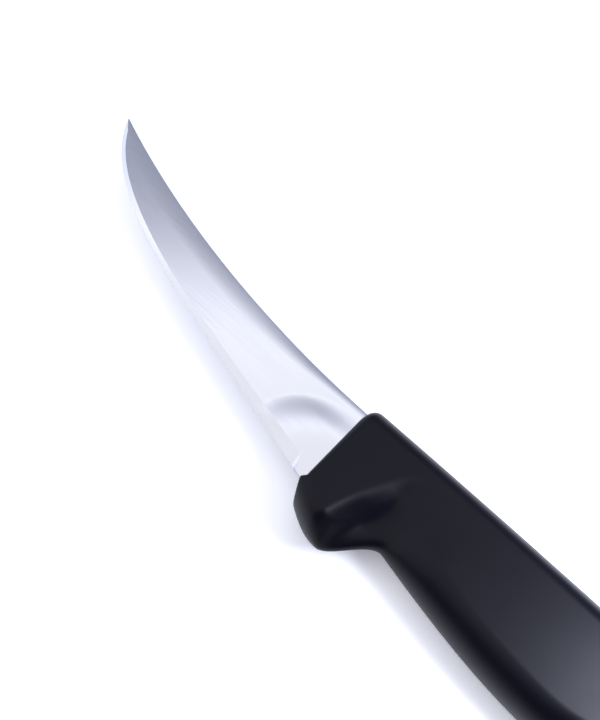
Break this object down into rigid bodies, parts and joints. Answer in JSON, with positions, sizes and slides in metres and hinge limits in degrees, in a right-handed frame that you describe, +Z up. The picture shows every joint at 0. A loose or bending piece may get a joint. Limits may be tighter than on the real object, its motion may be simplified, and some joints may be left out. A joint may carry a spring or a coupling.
{
  "type": "boning knife",
  "caption": "Curved boning knife: a slim steel blade sweeping up to its point, set by a hidden tang in a moulded black handle with a finger guard, side grooves and a hooked butt.",
  "frame": {"origin": "on the lower flat side of the handle, under the middle of the handle's length and height, so the knife lies on its side on the plane Z = 0", "axes": "+X along the handle towards the butt, with the tip towards -X; +Y towards the spine; +Z up, square to the flat of the blade"},
  "size_m": [0.2696, 0.0575, 0.019],
  "materials": {
    "blade_steel": "satin ground stainless steel",
    "handle_plastic": "black moulded plastic with a fine matt grain"
  },
  "bodies": {
    "root": {"blade": "blade_steel", "handle": "handle_plastic"}
  },
  "joints": []
}
